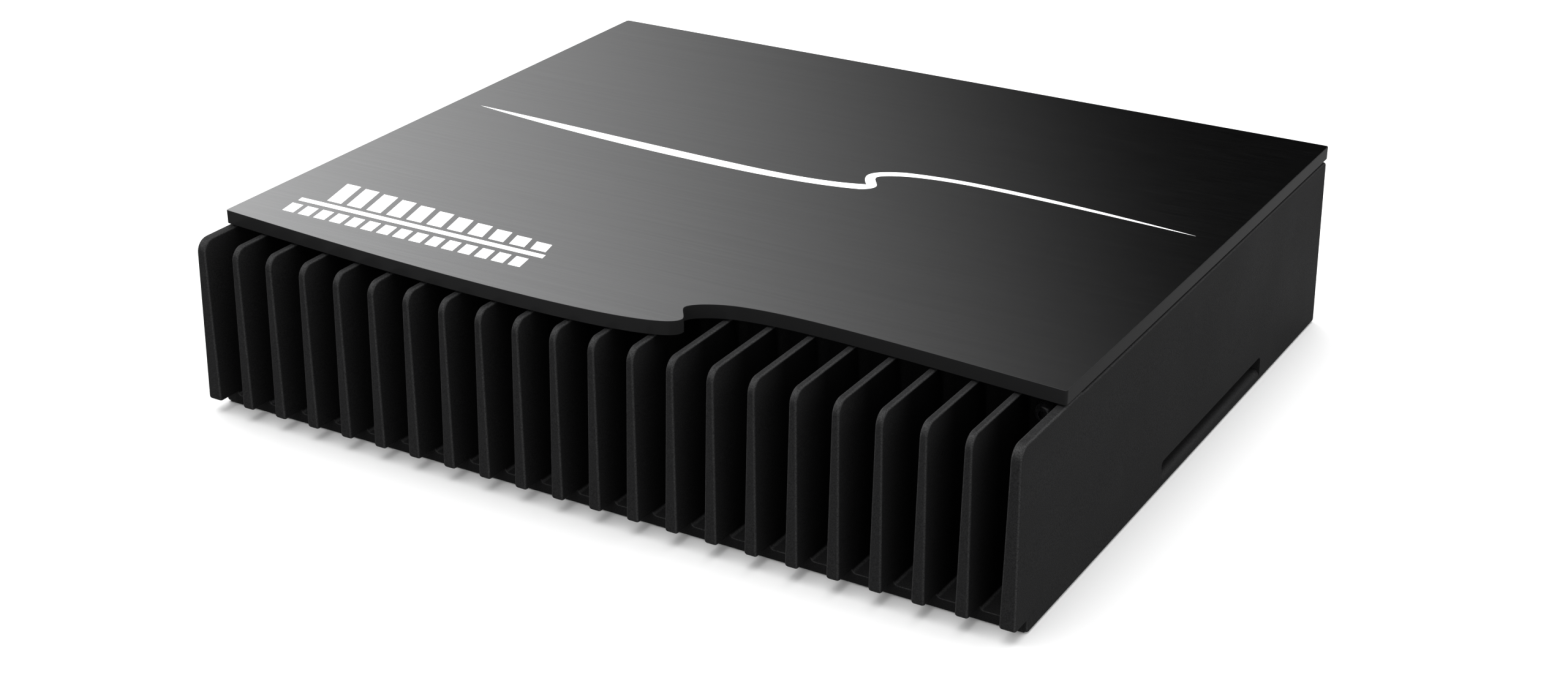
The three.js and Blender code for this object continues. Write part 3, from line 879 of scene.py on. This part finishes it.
def jack_shells():
    shell = [
        (3.5, 99.1), (4.5, 99.1), (4.5, 99.7), (4.35, 99.85), (4.15, 99.9), (4.15, 106.8),
        (4.05, 107.15), (3.85, 107.35), (3.7, 107.35), (3.5, 107.15), (3.5, 99.1),
    ]
    contact = [(1.25, 99.1), (1.6, 99.1), (1.6, 105.4), (1.25, 105.4), (1.25, 99.1)]
    for k, at in enumerate(INPUT_JACKS + PREOUT_JACKS):
        jack = turned(f"jack_shell_skin_{k + 1}", shell, at, "Y", 64)
        combine(jack, [turned("contact", contact, at, "Y", 32)], "UNION")
        dress(jack, GOLD, nodes=[f"jack_shell_{k + 1}"])


# ---- level controls and switches ----
FLUTES = 20
FLUTE_DEPTH = 0.24


def fluted_cap(name, x):
    """A turned cap whose side is grooved; the grooves fade out at both ends."""
    profile = [
        (4.95, 98.6, 0), (5.1, 98.8, 0), (5.1, 99.5, 0), (5.05, 99.9, 1),
        (4.82, 106.3, 1), (4.72, 106.8, 0.4), (4.5, 107.08, 0), (4.2, 107.2, 0),
    ]
    rings = []
    for radius, y, depth in profile:
        ring = []
        for k in range(FLUTES * 8):
            a = 2 * math.pi * k / (FLUTES * 8)
            groove = FLUTE_DEPTH * depth * (0.5 - 0.5 * math.cos(a * FLUTES)) ** 2
            r = radius - groove
            ring.append((x + r * math.sin(a), y, KNOB_Z + r * math.cos(a)))
        rings.append(ring)
    return skin(name, rings)


def level_knobs():
    for k, x in enumerate(KNOBS):
        body = f"level_knob_{k + 1}"
        knob = fluted_cap(f"{body}_skin", x)
        combine(knob, [rod_y("shaft", 3, x, KNOB_Z, 88, 99, 40)], "UNION")
        groove = box("groove", x - 0.5, x + 0.5, 100.5, 110, KNOB_Z + 1, KNOB_Z + 6)
        combine(knob, [groove], "DIFFERENCE")
        dress(knob, KNOB_PLASTIC, body, [body])
        z0, z1 = KNOB_Z + 1.02, KNOB_Z + 4.7
        pointer = box(f"{body}_pointer", x - 0.48, x + 0.48, 100.6, 107.0, z0, z1, 0.12)
        dress(pointer, PRINT, body)


def switch_sliders():
    for k, x in enumerate(SWITCHES):
        body = f"switch_slider_{k + 1}"
        rest = x - SWITCH_TRAVEL / 2
        z0, z1 = SWITCH_Z - 1.7, SWITCH_Z + 1.7
        grip = box(f"{body}_skin", rest - 1.9, rest + 1.9, 92.3, 101, z0, z1, 0.3)
        grooves = [
            box("groove", rest + step * 1.1 - 0.2, rest + step * 1.1 + 0.2, 100.45, 102,
                SWITCH_Z - 2, SWITCH_Z + 2, 0.08)
            for step in (-1, 0, 1)
        ]
        combine(grip, grooves, "DIFFERENCE")
        dress(grip, GREY_PLASTIC, body, [body])


def status_light():
    profile = [
        (2.4, 94), (2.4, 96.2), (1.8, 96.2), (1.8, 98.4), (1.7, 98.8),
        (1.4, 99.15), (0.95, 99.38), (0.4, 99.48),
    ]
    lens = turned("status_light_skin", profile, LIGHT, "Y", 40)
    dress(lens, LENS, nodes=["status_light"])


# ---- small sockets ----
def data_socket():
    x, z = USB
    shell = box("data_socket_skin", x - 6, x + 6, 80, 99.5, BOARD_TOP, z + 5.45, 0.35)
    combine(shell, [window(x - 4.25, x + 4.25, z - 3.9, z + 3.9, 0.6, 88, 101)], "DIFFERENCE")
    dress(shell, ZINC, nodes=["data_socket"])
    tongue = box("data_socket_tongue", x - 2.8, x + 2.8, 86, 98.6, z - 1.6, z + 1.6, 0.25)
    dress(tongue, WHITE_INSULATOR)
    strips = [
        box("strip", x + 1.25 * across - 0.5, x + 1.25 * across + 0.5, 88.5, 98.2,
            z + 1.6 * up - 0.06, z + 1.6 * up + 0.06)
        for across in (-1, 1) for up in (-1, 1)
    ]
    contacts = strips.pop()
    combine(contacts, strips, "UNION")
    contacts.name = "data_socket_contacts"
    dress(contacts, GOLD)


def remote_socket():
    x, z = REMOTE
    socket = box("remote_socket_skin", x - 6, x + 6, 80, 99.5, z - 5, z + 5, 0.35)
    legs = box("legs", x - 6, x + 6, 80, 95.5, USB[1] + 5.45 + GAP, z)
    combine(socket, [legs], "UNION")
    ways = [
        window(x - 4.9, x + 4.9, z - 3.4, z + 3.4, 0.5, 88, 101),
        window(x - 2, x + 2, z - 4.4, z, 0.3, 88, 101),
    ]
    combine(socket, ways, "DIFFERENCE")
    dress(socket, BLACK_PLASTIC, nodes=["remote_socket"])
    pins = [
        box("pin", x + 3 * across - 0.4, x + 3 * across + 0.4, 87, 95.5, z - 0.4, z + 0.4, 0.15)
        for across in (-1, 0, 1)
    ]
    row = pins.pop()
    combine(row, pins, "UNION")
    row.name = "remote_socket_pins"
    dress(row, GOLD)


# ---- screw terminals ----
def way_centres(block):
    return [block["x0"] + block["pitch"] * (way + 0.5) for way in range(block["ways"])]


def clamp_cage(x, half, y0, y1, z0, z1, wall):
    """The metal sleeve that grips a wire inside one way."""
    cage = slab("cage", rectangle(x - half, x + half, z0, z1, 0.4), y0, y1, 0.12, flat_xz)
    bore = window(x - half + wall, x + half - wall, z0 + wall, z1 - wall, 0.3, y0 + 1, y1 + 2)
    return combine(cage, [bore], "DIFFERENCE")


def joined(name, pieces):
    first = pieces.pop()
    combine(first, pieces, "UNION")
    first.name = name
    return first


def speaker_terminals():
    x0, x1 = SPEAKER["x0"], SPEAKER["x1"]
    block = box("speaker_terminal_block_skin", x0, x1, 84, 107, BOARD_TOP + GAP, 34, 0.4)
    cuts = []
    for x in way_centres(SPEAKER):
        cuts.append(window(x - 2.4, x + 2.4, 16.6, 21.6, 0.4, 94))
        cuts.append(rod_z("well", 2.2, x, 101.5, 28, 36, 32))
    for x in way_centres(SPEAKER)[1:]:
        edge = x - SPEAKER["pitch"] / 2
        cuts.append(box("groove", edge - 0.25, edge + 0.25, 106.6, 108, 12, 36))
    combine(block, cuts, "DIFFERENCE")
    dress(bevel(block, 0.12, 2, 50), BLACK_PLASTIC, nodes=["speaker_terminal_block"])
    cages = [clamp_cage(x, 2.38, 95, 105.5, 16.62, 21.58, 0.35) for x in way_centres(SPEAKER)]
    dress(joined("speaker_clamp_cages", cages), ZINC)
    for k, x in enumerate(way_centres(SPEAKER)):
        profile = [(1.95, 28.2), (1.95, 31.2), (1.75, 31.5)]
        screw = turned(f"speaker_clamp_screw_{k + 1}", profile, (x, 101.5), "Z", 32)
        combine(screw, [box("drive", x - 2, x + 2, 101.25, 101.75, 30.7, 32)], "DIFFERENCE")
        dress(screw, ZINC)


def power_terminals():
    x0, x1 = POWER["x0"], POWER["x1"]
    block = box("power_terminal_block_skin", x0, x1, 84, 107.6, BOARD_TOP + GAP, 36, 0.5)
    cuts = []
    for x in way_centres(POWER):
        cuts.append(window(x - 3.9, x + 3.9, 16.4, 25.4, 0.6, 90))
        cuts.append(rod_z("well", 3.4, x, 101, 25, 40, 40))
    for x in way_centres(POWER)[1:]:
        edge = x - POWER["pitch"] / 2
        cuts.append(box("groove", edge - 0.3, edge + 0.3, 107.1, 109, 12, 38))
    combine(block, cuts, "DIFFERENCE")
    dress(bevel(block, 0.15, 2, 50), BLACK_PLASTIC, nodes=["power_terminal_block"])
    cages = [clamp_cage(x, 3.88, 91, 105.8, 16.42, 25.0, 0.5) for x in way_centres(POWER)]
    dress(joined("power_clamp_cages", cages), ZINC)
    for k, x in enumerate(way_centres(POWER)):
        at = (x, 101)
        profile = [(2.8, 27.4), (3.1, 27.7), (3.1, 34.5), (2.8, 34.8)]
        screw = turned(f"power_clamp_screw_skin_{k + 1}", profile, at, "Z", 40)
        combine(screw, [slab("drive", hexagon(at, 1.75), 31.5, 36)], "DIFFERENCE")
        dress(bevel(screw, 0.08), ZINC, nodes=[f"power_clamp_screw_{k + 1}"])


# ---- printed marks on the connector panel ----
DIAL_RADIUS = 6.15


def panel_marks():
    y0, y1 = PANEL_Y1 - 0.02, PANEL_Y1 + 0.03
    marks = []
    for x in KNOBS:
        for step in range(-4, 5):
            a = math.radians(35 * step)
            size = 0.36 if step % 4 else 0.5
            u = x + DIAL_RADIUS * math.sin(a)
            marks.append(rod_y("dot", size, u, KNOB_Z + DIAL_RADIUS * math.cos(a), y0, y1, 20))
    for x in SWITCHES:
        for end in (-2, 2):
            mid = x + end
            marks.append(box("tick", mid - 0.2, mid + 0.2, y0, y1, SWITCH_Z + 3.2, SWITCH_Z + 4.8))
    for k, x in enumerate(way_centres(SPEAKER)):
        marks.append(box("bar", x - 1.1, x + 1.1, y0, y1, 36.3, 36.8))
        if k % 2 == 0:
            marks.append(box("bar", x - 0.25, x + 0.25, y0, y1, 35.45, 37.65))
    for x in way_centres(POWER)[:2]:
        marks.append(box("bar", x - 1.5, x + 1.5, y0, y1, 38.7, 39.3))
    x = way_centres(POWER)[0]
    marks.append(box("bar", x - 0.3, x + 0.3, y0, y1, 37.5, 40.5))
    dress(joined("panel_marks", marks), PRINT)


# ---- CAD pieces kept as they are ----
def kept_nodes():
    """Pieces inside the case keep their CAD shape, with softened edges and their own material."""
    materials = {
        "plate_screw_": ZINC, "board_screw_": ZINC, "clamp_bar": ZINC, "thermal_pad": SILICONE,
        "power_transistor_": DARK_MOULD, "main_board": BOARD_GREEN, "reservoir_capacitor_": CAN_SLEEVE,
        "power_transformer": COPPER, "output_inductor_": COPPER, "level_pot_": DARK_MOULD,
        "switch_body_": DARK_MOULD,
    }
    for name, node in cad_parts.items():
        for start, material in materials.items():
            if name.startswith(start):
                node.data.materials.clear()
                node.data.materials.append(material)
                edge = node.modifiers.new("edge", "BEVEL")
                edge.width = 0.18 * MM
                edge.segments = 2
                edge.limit_method = "ANGLE"
                edge.angle_limit = math.radians(40)


# ---- stage, light and camera ----
AMBIENT = 0.85
PANEL_PLACE = (-1.5, 1.26, 0.78)
PANEL_WIDTH = 2.4
PANEL_HEIGHT = 1.3
PANEL_BRIGHT = -0.15
PANEL_DARK = 0.5
PANEL_FALL = 1.75
PANEL_TILT = 0.16
PANEL_POWER = 2.5


def studio():
    """A white floor, three soft lights and the graded panel to the back left."""
    bpy.ops.mesh.primitive_plane_add(size=12, location=(0, 0, -0.0002))
    floor = bpy.context.object
    floor.name = "studio_floor"
    floor.data.materials.append(floor_white())
    backdrop()
    area_light("overhead", (-0.3, 0.06, 1.7), (0, 0, 0), 2.3, 2.3, 48)
    area_light("back_right", (1.55, 1.25, 0.8), (0.1, 0.05, 0.03), 2.4, 1.3, 13)
    area_light("front_soft", (0.2, -2.0, 0.8), (0, 0, 0), 3.0, 0.9, 7)
    graded_panel()


def backdrop():
    """White behind the floor, and an even light on matt surfaces that mirrors do not show."""
    world = bpy.data.worlds.new("studio")
    bpy.context.scene.world = world
    world.use_nodes = True
    world.cycles_visibility.glossy = False
    tree = world.node_tree
    path = tree.nodes.new("ShaderNodeLightPath")
    level = tree.nodes.new("ShaderNodeMapRange")
    level.inputs["To Min"].default_value = AMBIENT
    level.inputs["To Max"].default_value = 1.0
    tree.links.new(path.outputs["Is Camera Ray"], level.inputs["Value"])
    tree.links.new(level.outputs["Result"], tree.nodes["Background"].inputs["Strength"])
    tree.nodes["Background"].inputs["Color"].default_value = (1, 1, 1, 1)


def graded_panel():
    """A softbox to the back left that fades out towards the right."""
    centre = Vector(PANEL_PLACE)
    bpy.ops.mesh.primitive_plane_add(size=1, location=centre)
    panel = bpy.context.object
    panel.name = "graded_softbox"
    panel.scale = (PANEL_WIDTH, PANEL_HEIGHT, 1)
    panel.rotation_euler = (-centre).to_track_quat("Z", "Y").to_euler()
    m = Nodes("graded_light")
    across = m.add("ShaderNodeVectorMath", operation="DOT_PRODUCT")
    m.link(m.coords, across.inputs[0])
    across.inputs[1].default_value = (1, -PANEL_TILT, 0)
    ramp = m.spread(across.outputs["Value"], 1, 0, PANEL_BRIGHT, PANEL_DARK)
    strength = m.maths("MULTIPLY", m.maths("POWER", ramp, PANEL_FALL), PANEL_POWER)
    m.set(Base_Color=(0, 0, 0, 1), Specular_IOR_Level=0.0, Roughness=1.0)
    m.set(Emission_Color=(1, 1, 1, 1))
    m.wire(Emission_Strength=strength)
    panel.data.materials.append(m.material)
    panel.visible_camera = False


def area_light(name, place, aim, width, height, power):
    """A rectangular softbox, in metres and watts, that the camera does not see."""
    lamp = bpy.data.lights.new(name, "AREA")
    lamp.shape = "RECTANGLE"
    lamp.size = width
    lamp.size_y = height
    lamp.energy = power
    obj = bpy.data.objects.new(name, lamp)
    bpy.context.scene.collection.objects.link(obj)
    obj.location = place
    obj.rotation_euler = (Vector(aim) - Vector(place)).to_track_quat("-Z", "Y").to_euler()
    obj.visible_camera = False


CAMERA_PLACE = (0.3257, -0.5637, 0.3103)
CAMERA_GAZE = (-0.4534, 0.7848, -0.4226)
CAMERA_LENS = 55
SENSOR_WIDTH = 36


def camera():
    """Looks down on the finned side from 30 degrees to the right and 25 degrees up."""
    data = bpy.data.cameras.new("camera")
    data.lens = CAMERA_LENS
    data.sensor_width = SENSOR_WIDTH
    data.clip_start = 0.01
    data.clip_end = 20
    obj = bpy.data.objects.new("camera", data)
    bpy.context.scene.collection.objects.link(obj)
    obj.location = CAMERA_PLACE
    obj.rotation_euler = Vector(CAMERA_GAZE).to_track_quat("-Z", "Y").to_euler()
    bpy.context.scene.camera = obj
    bpy.context.scene.view_settings.view_transform = "Standard"


casting()
top_plate()
printed_marks()
bottom_cover()
connector_panel()
cover_screws()
clamp_screws()
jack_blocks()
jack_shells()
level_knobs()
switch_sliders()
status_light()
data_socket()
remote_socket()
speaker_terminals()
power_terminals()
panel_marks()
kept_nodes()
studio()
camera()
